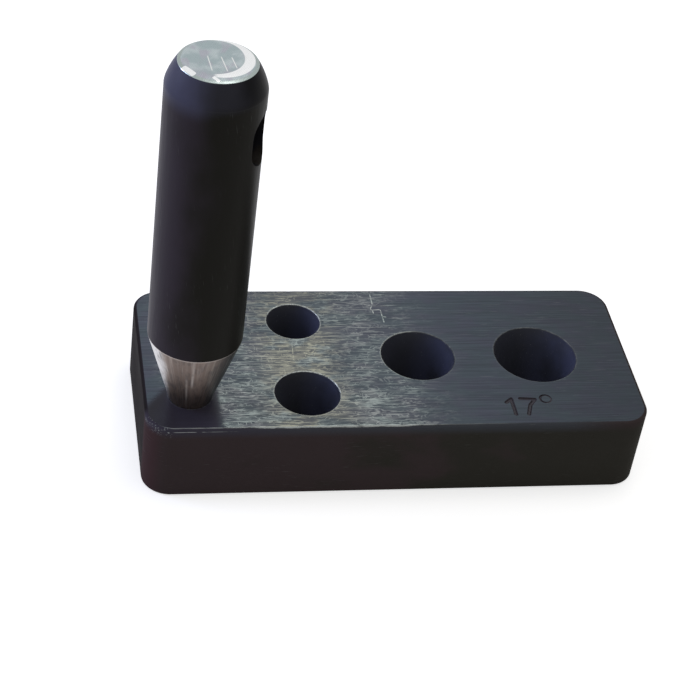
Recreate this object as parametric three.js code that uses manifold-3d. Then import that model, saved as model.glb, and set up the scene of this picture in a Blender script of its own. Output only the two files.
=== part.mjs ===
// Collet block: a bar of blackened tool steel with a ladder of tapered round holes, and the punch that stands
// in one of them. Millimetres, +Z up. The block lies along X, and the origin is the middle of its underside.

import * as THREE from 'three';
import * as BufferGeometryUtils from 'three/addons/utils/BufferGeometryUtils.js';
import Module from 'manifold-3d';

const wasm = await Module();
wasm.setup();

// Block
const blockLength = 100;
const blockWidth = 42.5;
const blockHeight = 17;
const blockCornerRadius = 5.5;
const topEdgeRadius = 0.6;
const undersideBreak = 0.4;

// Tapered holes, one cone angle for every hole and for the punch
const taperAngle = 17; // degrees on each side of the axis
const smallestMouth = 7;
const mouthStep = 2; // each hole is this much wider than the one before
const mouthBreak = 0.3;
const pilotDiameter = 3; // the drilled start of a cone that would close inside the block

// Places of the holes from the smallest up, along from the left end and across from the middle line
const holePlaceShares = [
  { along: 0.09, across: 0.26 },
  { along: 0.09, across: -0.26 },
  { along: 0.32, across: 0.26 },
  { along: 0.32, across: -0.26 },
  { along: 0.56, across: 0 },
  { along: 0.805, across: 0 },
];
const seatIndex = 1; // the hole that the punch stands in

// Punch
const shankDiameter = 18;
const shankLength = 54.6;
const tipDiameter = 3;
const headBevelWidth = 2;
const headBevelHeight = 4.4;
const headBevelCrown = 0.2; // how far the bevel swells out of a straight line
const faceRimWidth = 1;
const faceRimHeight = 0.4;
const keySlotWidth = 7.5;
const keySlotHeight = 10.5; // along the shank, over its round ends
const keySlotDepth = 10; // from the shank's surface to the flat floor
const keySlotDrop = 13.5; // strike face down to the middle of the slot
const keySlotTurn = -22; // degrees from the block's length
const seatClearance = 0.3; // square to the two cones

// How finely round forms are cut up, and how far a cutter runs past what it cuts
const roundSegments = 72;
const slotEndSegments = 24;
const cornerSegments = 4;
const edgeSegments = 4;
const crownSegments = 6;
const overrun = 1;

const taper = Math.tan(THREE.MathUtils.degToRad(taperAngle));
const seatClearanceAcross = seatClearance / Math.cos(THREE.MathUtils.degToRad(taperAngle));

const holes = holePlaceShares.map((share, index) => ({
  x: blockLength * (share.along - 0.5),
  y: blockWidth * share.across,
  mouthRadius: (smallestMouth + index * mouthStep) / 2,
}));
const seat = holes[seatIndex];

// Closed three.js geometry to a solid that can be cut
function toSolid(geometry) {
  const bare = geometry.clone();
  bare.deleteAttribute('normal');
  bare.deleteAttribute('uv');
  const merged = BufferGeometryUtils.mergeVertices(bare);
  return new wasm.Manifold(new wasm.Mesh({
    numProp: 3,
    vertProperties: new Float32Array(merged.attributes.position.array),
    triVerts: new Uint32Array(merged.index.array),
  }));
}

function toGeometry(solid) {
  const mesh = solid.getMesh();
  const geometry = new THREE.BufferGeometry();
  geometry.setAttribute('position', new THREE.BufferAttribute(new Float32Array(mesh.vertProperties), 3));
  geometry.setIndex(new THREE.BufferAttribute(new Uint32Array(mesh.triVerts), 1));
  geometry.computeVertexNormals();
  return geometry;
}

// Body of revolution about Z from a profile of radius and height that starts and ends on the axis
function turned(profile, segments) {
  const points = profile.map(([radius, height]) => new THREE.Vector2(radius, height));
  return new THREE.LatheGeometry(points, segments).rotateX(Math.PI / 2);
}

// Plan of the block, drawn in from its full outline by the inset
function blockOutline(inset) {
  const radius = blockCornerRadius - inset;
  const x = blockLength / 2 - blockCornerRadius;
  const y = blockWidth / 2 - blockCornerRadius;
  const outline = new THREE.Shape();
  outline.absarc(x, y, radius, 0, Math.PI / 2);
  outline.absarc(-x, y, radius, Math.PI / 2, Math.PI);
  outline.absarc(-x, -y, radius, Math.PI, Math.PI * 1.5);
  outline.absarc(x, -y, radius, Math.PI * 1.5, Math.PI * 2);
  return outline.getPoints(cornerSegments);
}

// Joins outlines of equal point count, one above the other, and closes both ends
function loft(levels) {
  const ringSize = levels[0].outline.length;
  const lastRing = (levels.length - 1) * ringSize;
  const positions = [];
  const triangles = [];
  for (const { outline, height } of levels) {
    for (const point of outline) positions.push(point.x, point.y, height);
  }
  for (let ring = 0; ring < lastRing; ring += ringSize) {
    for (let i = 0; i < ringSize; i++) {
      const here = ring + i;
      const next = ring + ((i + 1) % ringSize);
      triangles.push(here, next, next + ringSize, here, next + ringSize, here + ringSize);
    }
  }
  for (const [a, b, c] of THREE.ShapeUtils.triangulateShape(levels[0].outline, [])) {
    triangles.push(a, c, b);
    triangles.push(lastRing + a, lastRing + b, lastRing + c);
  }
  const geometry = new THREE.BufferGeometry();
  geometry.setAttribute('position', new THREE.Float32BufferAttribute(positions, 3));
  geometry.setIndex(triangles);
  return geometry;
}

// Bar with broken edges underneath and rounded edges on top
function blockBlank() {
  const levels = [
    { outline: blockOutline(undersideBreak), height: 0 },
    { outline: blockOutline(0), height: undersideBreak },
  ];
  for (let i = 0; i <= edgeSegments; i++) {
    const angle = (Math.PI / 2) * (i / edgeSegments);
    levels.push({
      outline: blockOutline(topEdgeRadius * (1 - Math.cos(angle))),
      height: blockHeight - topEdgeRadius * (1 - Math.sin(angle)),
    });
  }
  return loft(levels);
}

// Cutter for one hole: mouth break, cone, and the pilot where the cone would close before the underside
function holeCutter(mouthRadius) {
  const pilotRadius = pilotDiameter / 2;
  const pilotHeight = blockHeight - (mouthRadius - pilotRadius) / taper;
  const profile = [[0, -overrun]];
  if (pilotHeight > 0) {
    profile.push([pilotRadius, -overrun]);
    profile.push([pilotRadius, pilotHeight]);
  } else {
    profile.push([mouthRadius - (blockHeight + overrun) * taper, -overrun]);
  }
  profile.push([mouthRadius - mouthBreak * taper, blockHeight - mouthBreak]);
  profile.push([mouthRadius + mouthBreak, blockHeight]);
  profile.push([mouthRadius + mouthBreak, blockHeight + overrun]);
  profile.push([0, blockHeight + overrun]);
  return turned(profile, roundSegments);
}

function makeBlock() {
  let solid = toSolid(blockBlank());
  for (const hole of holes) {
    const cutter = holeCutter(hole.mouthRadius).translate(hole.x, hole.y, 0);
    solid = solid.subtract(toSolid(cutter));
  }
  return toGeometry(solid);
}

// The punch's cone follows the wall of its hole at the seat clearance
const coneRadiusAtTop = seat.mouthRadius - seatClearanceAcross;
const tipHeight = blockHeight - (coneRadiusAtTop - tipDiameter / 2) / taper;
const coneLength = (shankDiameter - tipDiameter) / 2 / taper;
const bevelStart = coneLength + shankLength;
const bevelEnd = bevelStart + headBevelHeight;
const punchLength = bevelEnd + faceRimHeight;

// Turned steel from the tip up: cone, parallel shank, crowned bevel, rim of the strike face
function punchBlank() {
  const shankRadius = shankDiameter / 2;
  const rimRadius = shankRadius - headBevelWidth;
  const profile = [[0, 0], [tipDiameter / 2, 0], [shankRadius, coneLength], [shankRadius, bevelStart]];
  const bevelLength = Math.hypot(headBevelWidth, headBevelHeight);
  for (let i = 1; i < crownSegments; i++) {
    const share = i / crownSegments;
    const swell = 4 * headBevelCrown * share * (1 - share);
    profile.push([
      shankRadius - headBevelWidth * share + swell * (headBevelHeight / bevelLength),
      bevelStart + headBevelHeight * share + swell * (headBevelWidth / bevelLength),
    ]);
  }
  profile.push([rimRadius, bevelEnd]);
  profile.push([rimRadius - faceRimWidth, punchLength]);
  profile.push([0, punchLength]);
  return turned(profile, roundSegments);
}

// Blind slot milled upright into the side near the head, for a flat key that turns the punch free
function keySlotCutter() {
  const endRadius = keySlotWidth / 2;
  const endRise = keySlotHeight / 2 - endRadius;
  const outline = new THREE.Shape();
  outline.absarc(0, endRise, endRadius, 0, Math.PI);
  outline.absarc(0, -endRise, endRadius, Math.PI, Math.PI * 2);
  const cutter = new THREE.ExtrudeGeometry(outline, {
    depth: keySlotDepth + overrun,
    bevelEnabled: false,
    curveSegments: slotEndSegments,
  });
  cutter.rotateX(Math.PI / 2);
  cutter.rotateZ(Math.PI / 2);
  cutter.translate(shankDiameter / 2 - keySlotDepth, 0, punchLength - keySlotDrop);
  return cutter.rotateZ(THREE.MathUtils.degToRad(keySlotTurn));
}

function makePunch() {
  return toGeometry(toSolid(punchBlank()).subtract(toSolid(keySlotCutter())));
}

const blackenedSteel = new THREE.MeshStandardMaterial({ color: 0x33353c, roughness: 0.5, metalness: 0.75 });
const oiledBlackSteel = new THREE.MeshStandardMaterial({ color: 0x232228, roughness: 0.4, metalness: 0.7 });

const group = new THREE.Group();

const block = new THREE.Mesh(makeBlock(), blackenedSteel);
block.name = 'block';
group.add(block);

const punch = new THREE.Mesh(makePunch(), oiledBlackSteel);
punch.name = 'punch';
punch.position.set(seat.x, seat.y, tipHeight);
group.add(punch);

export default group;
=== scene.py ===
import math
import random

import bmesh
import bpy
from mathutils import Matrix, Vector
from mathutils import noise as wobble


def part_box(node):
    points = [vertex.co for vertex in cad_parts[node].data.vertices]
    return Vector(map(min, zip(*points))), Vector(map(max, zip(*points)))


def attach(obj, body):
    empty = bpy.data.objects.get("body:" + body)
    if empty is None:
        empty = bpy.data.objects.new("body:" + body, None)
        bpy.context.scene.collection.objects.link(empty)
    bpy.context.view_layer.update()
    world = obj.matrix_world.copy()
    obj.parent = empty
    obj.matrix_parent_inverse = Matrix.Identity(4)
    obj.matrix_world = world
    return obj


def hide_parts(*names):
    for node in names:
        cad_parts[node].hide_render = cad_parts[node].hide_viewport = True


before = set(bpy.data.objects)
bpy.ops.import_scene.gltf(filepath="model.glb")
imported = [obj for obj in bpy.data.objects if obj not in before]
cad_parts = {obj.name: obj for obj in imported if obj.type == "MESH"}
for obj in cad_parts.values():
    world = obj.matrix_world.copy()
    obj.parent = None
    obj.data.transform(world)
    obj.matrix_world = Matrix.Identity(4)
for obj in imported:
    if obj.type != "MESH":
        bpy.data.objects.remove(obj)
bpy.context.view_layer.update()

mm = 0.001
blockLow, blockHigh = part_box("block")
punchLow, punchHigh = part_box("punch")
blockTop = blockHigh.z
punchRadius = (punchHigh.x - punchLow.x) / 2
punchX = (punchLow.x + punchHigh.x) / 2
punchY = (punchLow.y + punchHigh.y) / 2
scene = bpy.context.scene
scene.view_settings.view_transform = "Standard"


def span(low, high):
    # two places in millimetres, as metres
    return (low * mm, high * mm)


# Camera

camera = {
    "place": Vector((-0.08257, -0.29465, 0.26722)),
    "lens": 101.2,
    "right": Vector((0.98181, -0.15044, 0.11587)),
    "up": Vector((0.00832, 0.64371, 0.76522)),
    "clipStart": 10 * mm,
}


def makeCamera():
    data = bpy.data.cameras.new("camera")
    data.lens = camera["lens"]
    data.clip_start = camera["clipStart"]
    obj = bpy.data.objects.new("camera", data)
    scene.collection.objects.link(obj)
    right = camera["right"].normalized()
    back = right.cross(camera["up"]).normalized()
    turn = Matrix((right, back.cross(right), back)).transposed().to_4x4()
    obj.matrix_world = Matrix.Translation(camera["place"]) @ turn
    scene.camera = obj


makeCamera()


# Wiring: a field is what one node gives out, and sums of fields make the maths nodes

seedStep = (0.0137, 0.0071, 0.0053)  # how far each seed moves a noise, in metres
endless = 1000  # millimetres, for a mark that doesn't change that way
mostNoise = (0.3, 0.7)  # nearly all of a noise lies between these
scoreEnds = (0.75, 1.02)  # a scratch fades out between these shares of its half length
metalFrom = (0, 0.5)  # wear over which a blackened skin turns to bare metal


class Field:
    def __init__(self, tree, socket):
        self.tree = tree
        self.socket = socket

    def __add__(self, other):
        return calc("ADD", self, other)

    def __sub__(self, other):
        return calc("SUBTRACT", self, other)

    def __rsub__(self, other):
        return calc("SUBTRACT", other, self)

    def __mul__(self, other):
        return calc("MULTIPLY", self, other)

    def __truediv__(self, other):
        return calc("DIVIDE", self, other)

    def __abs__(self):
        return calc("ABSOLUTE", self)


def put(tree, kind, **settings):
    node = tree.nodes.new(kind)
    for name, value in settings.items():
        setattr(node, name, value)
    return node


def feed(socket, value):
    # the value is a field, a number, a colour or a vector
    if isinstance(value, Field):
        value.tree.links.new(value.socket, socket)
    else:
        socket.default_value = value


def calc(operation, *values, clamp=False):
    tree = next(value.tree for value in values if isinstance(value, Field))
    node = put(tree, "ShaderNodeMath", operation=operation, use_clamp=clamp)
    for socket, value in zip(node.inputs, values):
        feed(socket, value)
    return Field(tree, node.outputs[0])


def larger(first, second):
    return calc("MAXIMUM", first, second)


def smaller(first, second):
    return calc("MINIMUM", first, second)


def softStep(value, low, high, toLow=0.0, toHigh=1.0):
    node = put(value.tree, "ShaderNodeMapRange", interpolation_type="SMOOTHSTEP")
    for socket, given in zip(node.inputs, (value, low, high, toLow, toHigh)):
        feed(socket, given)
    return Field(value.tree, node.outputs[0])


def between(value, rising, falling):
    # 1 between two soft ends
    return softStep(value, *rising) * softStep(value, *falling, 1, 0)


def mixed(share, first, second):
    node = put(share.tree, "ShaderNodeMix", data_type="RGBA")
    feed(node.inputs[0], share)
    feed(node.inputs[6], first)  # its two colours are sockets 6 and 7
    feed(node.inputs[7], second)
    return Field(share.tree, node.outputs[2])


def vectorMath(operation, value, other, socket=1, output=0):
    node = put(value.tree, "ShaderNodeVectorMath", operation=operation)
    feed(node.inputs[0], value)
    feed(node.inputs[socket], other)
    return Field(value.tree, node.outputs[output])


def distanceFrom(place, point):
    return vectorMath("DISTANCE", place, point, output="Value")


def axes(place):
    node = put(place.tree, "ShaderNodeSeparateXYZ")
    feed(node.inputs[0], place)
    return [Field(place.tree, output) for output in node.outputs]


def mapped(place, location, turn, size=(1, 1, 1)):
    node = put(place.tree, "ShaderNodeMapping", vector_type="TEXTURE")
    feed(node.inputs["Vector"], place)
    node.inputs["Location"].default_value = location
    node.inputs["Rotation"].default_value = (0, 0, turn)
    node.inputs["Scale"].default_value = size
    return Field(place.tree, node.outputs[0])


def marks(place, size, turn=0, seed=0, detail=2, rough=0.5, warp=0):
    # noise whose marks are as long, wide and tall as size says, in millimetres
    location = [step * seed for step in seedStep]
    scale = [side * mm for side in (*size, endless)[:3]]
    stretched = mapped(place, location, math.radians(turn), scale)
    node = put(place.tree, "ShaderNodeTexNoise")
    feed(node.inputs["Vector"], stretched)
    node.inputs["Scale"].default_value = 1
    node.inputs["Detail"].default_value = detail
    node.inputs["Roughness"].default_value = rough
    node.inputs["Distortion"].default_value = warp
    return Field(place.tree, node.outputs["Fac"])


def patchy(place, ramp, **layer):
    return softStep(marks(place, **layer), *ramp)


def bumped(height, strength, depth):
    node = put(height.tree, "ShaderNodeBump")
    node.inputs["Strength"].default_value = strength
    node.inputs["Distance"].default_value = depth
    feed(node.inputs["Height"], height)
    return Field(height.tree, node.outputs[0])


def steel(name, look):
    # a new material, the sockets of its shader and the place on the piece, in metres
    mat = bpy.data.materials.new(name)
    mat.use_nodes = True
    tree = mat.node_tree
    skin = tree.nodes["Principled BSDF"].inputs
    skin["Specular IOR Level"].default_value = look.get("shine", 0.5)
    skin["Metallic"].default_value = look.get("metal", 0)
    skin["Roughness"].default_value = look.get("evenRough", 0.4)
    return mat, skin, Field(tree, put(tree, "ShaderNodeTexCoord").outputs["Object"])


def scoreLine(place, start, end, width):
    # one straight scratch between two points in millimetres, 1 along its middle
    a = Vector((*start, 0)) * mm
    b = Vector((*end, 0)) * mm
    heading = (b - a).normalized()
    x, y, z = axes(mapped(place, (a + b) / 2, math.atan2(heading.y, heading.x)))
    half = (b - a).length / 2
    along = softStep(abs(x), *(half * share for share in scoreEnds), 1, 0)
    return along * softStep(abs(y), 0, width, 1, 0)


# Meshes

overrun = 1 * mm  # how far a cutter runs past what it cuts
weldGap = 0.0005 * mm


def meshObject(name, bm, mats=()):
    mesh = bpy.data.meshes.new(name)
    bm.to_mesh(mesh)
    bm.free()
    for mat in mats:
        mesh.materials.append(mat)
    obj = bpy.data.objects.new(name, mesh)
    scene.collection.objects.link(obj)
    return obj


def loft(name, rings, finishes, mats):
    # closed solid through rings of equal point count; the finish numbers run from bottom face to top
    bm = bmesh.new()
    loops = [[bm.verts.new(p) for p in ring] for ring in rings]
    count = len(loops[0])
    for (low, high), finish in zip(zip(loops, loops[1:]), finishes[1:]):
        for i in range(count):
            j = (i + 1) % count
            bm.faces.new((low[i], low[j], high[j], high[i])).material_index = finish
    bm.faces.new(list(reversed(loops[0]))).material_index = finishes[0]
    bm.faces.new(loops[-1]).material_index = finishes[-1]
    return meshObject(name, bm, mats)


def lathe(name, profile, steps, mats, centre):
    # the profile is radius, height and the finish number of the band above it
    rings = []
    for radius, height, finish in profile:
        ring = []
        for i in range(steps):
            a = 2 * math.pi * i / steps
            ring.append((centre[0] + radius * math.cos(a), centre[1] + radius * math.sin(a), height))
        rings.append(ring)
    return loft(name, rings, [profile[0][2]] + [finish for radius, height, finish in profile], mats)


def halfTurn(start, steps):
    # angles round half a circle, from the start in degrees
    return [math.radians(start + 180 * i / steps) for i in range(steps + 1)]


def cut(obj, cutter):
    step = obj.modifiers.new("cut", "BOOLEAN")
    step.operation = "DIFFERENCE"
    step.solver = "EXACT"
    step.material_mode = "TRANSFER"
    step.object = cutter
    view = bpy.context.evaluated_depsgraph_get()
    fresh = bpy.data.meshes.new_from_object(obj.evaluated_get(view))
    obj.modifiers.clear()
    old = obj.data
    obj.data = fresh
    bpy.data.meshes.remove(old)
    bpy.data.objects.remove(cutter)


def tidyMesh(obj):
    bm = bmesh.new()
    bm.from_mesh(obj.data)
    bmesh.ops.remove_doubles(bm, verts=bm.verts, dist=weldGap)
    bmesh.ops.dissolve_degenerate(bm, edges=bm.edges, dist=weldGap)
    bm.to_mesh(obj.data)
    bm.free()


def dressNormals(obj, angle):
    for face in obj.data.polygons:
        face.use_smooth = True
    obj.data.set_sharp_from_angle(angle=math.radians(angle))
    weigh = obj.modifiers.new("evenNormals", "WEIGHTED_NORMAL")
    weigh.keep_sharp = True
    weigh.weight = 100


# Block finishes: layers of noise have a size in millimetres, and some the ramp they are read through

bareSteel = (0.5, 0.53, 0.51, 1)  # where the blackening is worn through

topLook = {
    "shine": 0.25,
    "rough": (0.15, 0.24),
    "relief": (0.2, 0.004 * mm),
    "black": (0.047, 0.061, 0.076, 1),
    "violet": (0.050, 0.057, 0.078, 1),
    "violetPatches": (0.4, 0.62),
    # painted reflection: plum paints the punch's dark reflection onto the top in front of it
    "reflectionPlum": (0.025, 0.023, 0.036, 1),
    "khaki": (0.50, 0.50, 0.40, 1),
    "green": (0.45, 0.51, 0.49, 1),
    "greenPatches": (0.4, 0.6),
    "metalFrom": (0, 0.6),
    "sheen": (0.5, 0.05),  # metallic share of the skin, in the open and in the corner painted with the punch's dark reflection
    # painted light: the skin is painted brighter at the left of the top and darker towards the right,
    # between two places along the block
    "paintedFalloff": (0, 60 * mm, 1.32, 0.76),
    "leftEnd": span(-47.5, -43),
    "leftEndPaintedLight": (1.15, 0.5),  # painted light at the left end: lighter in the open, darker in the painted reflection of the punch
    "grooves": (1.3, 0.3),  # how strong the drawn lines are, in the open and in the painted reflection of the punch
    "fine": dict(size=(16, 0.36), turn=0.4, seed=2, detail=4, rough=0.65),
    "cloud": dict(size=(7, 4), seed=25, detail=3, rough=0.6),
    "patches": dict(size=(9, 6, 6), seed=1, detail=3, rough=0.55),
    "grit": dict(size=(0.8, 0.5), seed=20, detail=2, ramp=(0.4, 0.52, 0.12, 1)),
    "gaps": dict(size=(1.8, 1.8), seed=24, detail=1, ramp=(0.4, 0.5, 0.15, 1)),
    # the rubbed zone fades in and out between these places along and across the block
    "wornLeft": span(-51, -40),
    "wornRight": span(-10, 19),
    "wornBack": (-20 * mm, 12 * mm, 1, 0.75),
    "wornPatches": (0.35, 0.6, 0.6, 1),
    # it starts further right in front of the punch
    "shelter": (-16 * mm, -8 * mm, 8 * mm, 0),
    # the painted dark reflection of the punch there slants back along its left side
    "cornerBend": 45.5 * mm,
    "cornerSlant": 1.28,
    "cornerBack": span(-10.8, -7.4),
    "cornerRight": span(-36.9, -34.6),
    "cornerRough": 0.2,
    "khakiAlong": (span(-30, -22), span(-14, -6)),
    "khakiPatches": (0.36, 0.52),
    "khakiHaze": 0.07,
    "haze": (0.03, 0.2),
    # most worn between the two small holes
    "mostWorn": (-18 * mm, 0, blockTop),
    "mostReach": span(3, 10),
    "mostHaze": (0.3, 0.6, 0.02, 0.08),
    # the level that a scratch's noise has to pass, at the edge of the zone and in its middle
    "level": (0.62, 0.525),
    "mostLevel": 0.028,
    "scratchEdge": 0.065,
    # how much of a scratch is left in the zone, in the painted reflection of the punch and in the most
    # worn place
    "shownInZone": (0, 0.5, 0.2, 1),
    "shownInCorner": (1, 0.1),
    "shownInMost": (1, 1.35),
    # layers of short scratches: length, width, turn, seed, bend, how rare, how bright
    "scratches": [
        (9.0, 0.17, 0.5, 4, 0.0, 0.08, 0.8),
        (5.0, 0.16, -2.0, 5, 0.05, 0.08, 0.8),
        (14.0, 0.20, 1.4, 6, 0.0, 0.11, 1.0),
        (4.0, 0.16, 7, 7, 0.1, 0.12, 0.8),
        (3.2, 0.18, 38, 8, 0.2, 0.17, 0.75),
        (2.6, 0.18, 96, 9, 0.2, 0.17, 0.75),
        (3.4, 0.18, -26, 10, 0.2, 0.16, 0.7),
    ],
    # thin bent lines, the level lines of a stretched cloud: length, spacing, turn, seed, thickness
    "threads": [
        (6.0, 1.1, 0.8, 17, 0.07),
        (4.5, 1.0, -3.0, 18, 0.07),
        (1.7, 1.5, 10.0, 19, 0.055),
    ],
    "threadBright": 0.75,
    "threadPatches": dict(size=(2.6, 1.2), detail=2, ramp=(0.5, 0.58)),
    # bright crooked scratch near the back edge, with its side strokes
    "crooked": [
        (-0.7, 19.9), (-0.7, 16.1), (-1.3, 15.2), (-1.2, 14.5), (0.7, 14.7), (0.75, 12.4), (0.85, 10.4),
    ],
    "arms": [((-2.6, 16.3), (-0.6, 16.1)), ((-1.0, 14.5), (-0.9, 13.4)), ((0.7, 12.5), (1.6, 12.2))],
    "crookedWidth": 0.2 * mm,
    "crookedBright": 1.2,
    "crookedLeast": 0.45,  # what the grit leaves of it
    # a few long straight ones
    "straight": [
        ((-14.0, -0.1), (-6.9, 0.1)),
        ((-12.1, -8.8), (-5.7, -8.7)),
        ((-19.1, 4.7), (-19.5, -1.5)),
        ((-7.0, -10.3), (-7.3, -13.3)),
        ((-20.4, -0.2), (-16.6, -0.1)),
        ((-15.2, -3.2), (-13.0, -2.4)),
        ((-17.8, 2.0), (-14.4, -1.3)),
        ((-14.6, 2.2), (-15.6, 0.9)),
    ],
    "straightWidth": 0.14 * mm,
    "straightBright": (0.6, 1.3),  # away from the most worn place and in it
    # bright ring round each hole
    "ringWidth": 0.28 * mm,
    "ringBright": (0, 0.8, 0.08, 0.6),
}

edgeLook = {
    "left": span(-48, -45),
    "right": span(1, 12),
    "faintRight": (14 * mm, 26 * mm, 0.22, 0),
    "thickAlong": (span(-36, -22), span(-4, 8)),
    "reach": span(0.07, 0.42),  # thinnest and widest reach of the wear onto the top
    "leftWeak": (-36 * mm, -26 * mm, 0.7, 1),
    "breaks": dict(size=(2.6, 0.5, 0.5), seed=3, detail=3, rough=0.6),
    "breakReach": (0.4, 1.5),  # how the breaks in it shorten and lengthen that reach
    "fullFrom": 0.8,
    "bright": (0.3, 0.5, 0.25, 0.95),
}


def edgeWear(place, distance):
    # bright wear along the front edge, from the distance in from it
    x = axes(place)[0]
    strong = between(x, edgeLook["left"], edgeLook["right"])
    faint = softStep(x, *edgeLook["faintRight"])
    reach = softStep(between(x, *edgeLook["thickAlong"]), 0, 1, *edgeLook["reach"])
    breaks = marks(place, **edgeLook["breaks"])
    reach = reach * softStep(breaks, *mostNoise, *edgeLook["breakReach"])
    share = larger(strong, faint) * softStep(x, *edgeLook["leftWeak"])
    near = calc("SUBTRACT", 1, distance / reach, clamp=True)
    return softStep(near, 0, edgeLook["fullFrom"]) * share * softStep(breaks, *edgeLook["bright"])


def topSteel(look):
    mat, skin, place = steel("wornBlackTop", look)
    x, y, z = axes(place)

    # painted reflection: the corner in front of the punch is painted plum as the punch's dark
    # reflection, kept free of wear and made rougher
    slant = smaller(x + look["cornerBend"], 0) * look["cornerSlant"]
    corner = softStep(y - slant, *look["cornerBack"], 1, 0)
    corner = corner * softStep(x, *look["cornerRight"], 1, 0)
    zone = softStep(x - softStep(y, *look["shelter"]), *look["wornLeft"])
    zone = zone * softStep(x, *look["wornRight"], 1, 0)
    patches = marks(place, **look["patches"])
    zone = zone * softStep(patches, *look["wornPatches"]) * softStep(y, *look["wornBack"])
    fine = marks(place, **look["fine"])

    # how much blackening is gone: a rubbed haze, then the scratches that cut through it
    cloud = marks(place, **look["cloud"])
    isKhaki = between(x, *look["khakiAlong"]) * softStep(cloud, *look["khakiPatches"])
    most = softStep(distanceFrom(place, look["mostWorn"]), *look["mostReach"], 1, 0)
    haze = softStep(fine, *mostNoise, *look["haze"]) + isKhaki * look["khakiHaze"]
    haze = haze + most * softStep(patches, *look["mostHaze"])
    zone = zone * (1 - corner)
    worn = zone * haze
    level = softStep(zone, 0, 1, *look["level"]) - most * look["mostLevel"]
    shown = softStep(zone, *look["shownInZone"]) * softStep(corner, 0, 1, *look["shownInCorner"])
    shown = shown * softStep(most, 0, 1, *look["shownInMost"])
    for length, width, turn, seed, bend, rare, bright in look["scratches"]:
        over = marks(place, (length, width), turn, seed, 1, 0.5, bend) - (level + rare)
        worn = larger(worn, softStep(over, 0, look["scratchEdge"], 0, bright) * shown)
    for length, spacing, turn, seed, thickness in look["threads"]:
        off = abs(marks(place, (length, spacing), turn, seed, 1) - 0.5)
        thread = softStep(off, 0, thickness, look["threadBright"], 0)
        kept = patchy(place, seed=seed + 10, **look["threadPatches"])
        worn = larger(worn, thread * kept * shown * zone)

    grit = patchy(place, **look["grit"])
    crooked = look["crooked"]
    for start, end in list(zip(crooked, crooked[1:])) + look["arms"]:
        line = scoreLine(place, start, end, look["crookedWidth"])
        line = line * larger(grit, look["crookedLeast"]) * look["crookedBright"]
        worn = larger(worn, line)
    deep = grit * patchy(place, **look["gaps"]) * softStep(most, 0, 1, *look["straightBright"])
    for start, end in look["straight"]:
        worn = larger(worn, scoreLine(place, start, end, look["straightWidth"]) * deep)
    worn = smaller(worn, 1)

    for (holeX, holeY), mouth in holeList():
        gap = distanceFrom(place, (holeX, holeY, blockTop)) - (mouth + holes["mouthBreak"])
        ring = softStep(gap, 0, look["ringWidth"], 1, 0)
        worn = larger(worn, ring * softStep(zone, *look["ringBright"]) * grit)
    worn = larger(worn, edgeWear(place, y - (blockLow.y + block["topRound"])))

    tint = mixed(softStep(cloud, *look["violetPatches"]), look["black"], look["violet"])
    tint = mixed(corner, tint, look["reflectionPlum"])
    grooves = (fine - 0.5) * softStep(corner, 0, 1, *look["grooves"])
    # painted light: lighter to the left and darker to the right, lighter at the open left end and
    # darker there in the painted reflection; the drawn lines ride on it
    light = (grooves + 1) * softStep(x, *look["paintedFalloff"])
    leftPaintedLight = softStep(corner, 0, 1, *look["leftEndPaintedLight"])
    light = light * softStep(x, *look["leftEnd"], leftPaintedLight, 1)
    tint = vectorMath("SCALE", tint, light, socket="Scale")
    bare = mixed(softStep(cloud, *look["greenPatches"]), look["green"], bareSteel)
    bare = mixed(isKhaki, bare, look["khaki"])

    feed(skin["Base Color"], mixed(worn, tint, bare))
    sheen = softStep(corner, 0, 1, *look["sheen"])
    feed(skin["Metallic"], softStep(worn, *look["metalFrom"], sheen, 1))
    rough = softStep(fine, *mostNoise, *look["rough"])
    feed(skin["Roughness"], rough + corner * look["cornerRough"])
    feed(skin["Normal"], bumped(fine - worn, *look["relief"]))
    return mat


sideLook = {
    "shine": 0.03,
    "rough": (0.7, 0.82),
    "relief": (0.35, 0.012 * mm),
    "brown": (0.046, 0.034, 0.035, 1),
    "olive": (0.033, 0.031, 0.026, 1),
    "russet": (0.050, 0.029, 0.031, 1),
    "shadow": (0.016, 0.013, 0.014, 1),
    "violet": (0.048, 0.046, 0.066, 1),
    "slate": (0.056, 0.061, 0.073, 1),
    "cloud": dict(size=(14, 14, 9), seed=11, detail=3),
    "grain": dict(size=(9, 9, 0.25), seed=12, detail=4, rough=0.6),
    "pits": dict(size=(0.5, 0.5, 0.5), seed=13, detail=2, ramp=(0.3, 0.42)),
    "pitDepth": 1.5,
    "scuffs": dict(size=(3, 3, 0.16), seed=14, detail=2, warp=0.3, ramp=(0.64, 0.74)),
    "scuffPatches": (0.45, 0.65, 0.02, 0.16),
    "scuffBright": 0.35,
    # brown turns to olive along the block
    "oliveAlong": (-40 * mm, 45 * mm, -0.3, 0.3),
    "oliveFrom": (0.35, 0.65),
    "russetLeft": span(-48.8, -46.2),
    "shadowLeft": span(-49.8, -49),
    "shadowFront": span(-16.8, -14.5),
    # the paler rounding: how far its tinge reaches down, and where its colours change
    "rimFade": span(2.6, 0.3),
    "rimShare": 0.8,
    "rimSlate": span(-46, -10),
    "rimBrown": span(30, 46),
    # worn line along the front edge, measured in from where the top meets the rounding
    "lineDrop": 0.02 * mm,
    "lineNarrower": 3,
    "lineBright": 0.7,
    # a second line at the foot of the rounding, near the left corner
    "lowDrop": 0.9,  # as a share of the rounding
    "lowWidth": 0.1 * mm,
    "lowAlong": (span(-47.5, -46), span(-40, -30)),
    "lowBreaks": dict(size=(2.2, 1, 1), seed=15, detail=3, ramp=(0.42, 0.55)),
    "lowBright": 0.55,
    # specks on the front left corner, which is where x and y add up to this
    "cornerSum": span(-66.8, -66.2),
    "specks": dict(size=(0.4, 0.4, 0.3), seed=16, detail=2, ramp=(0.58, 0.66)),
    "speckBright": 0.4,
}


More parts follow.
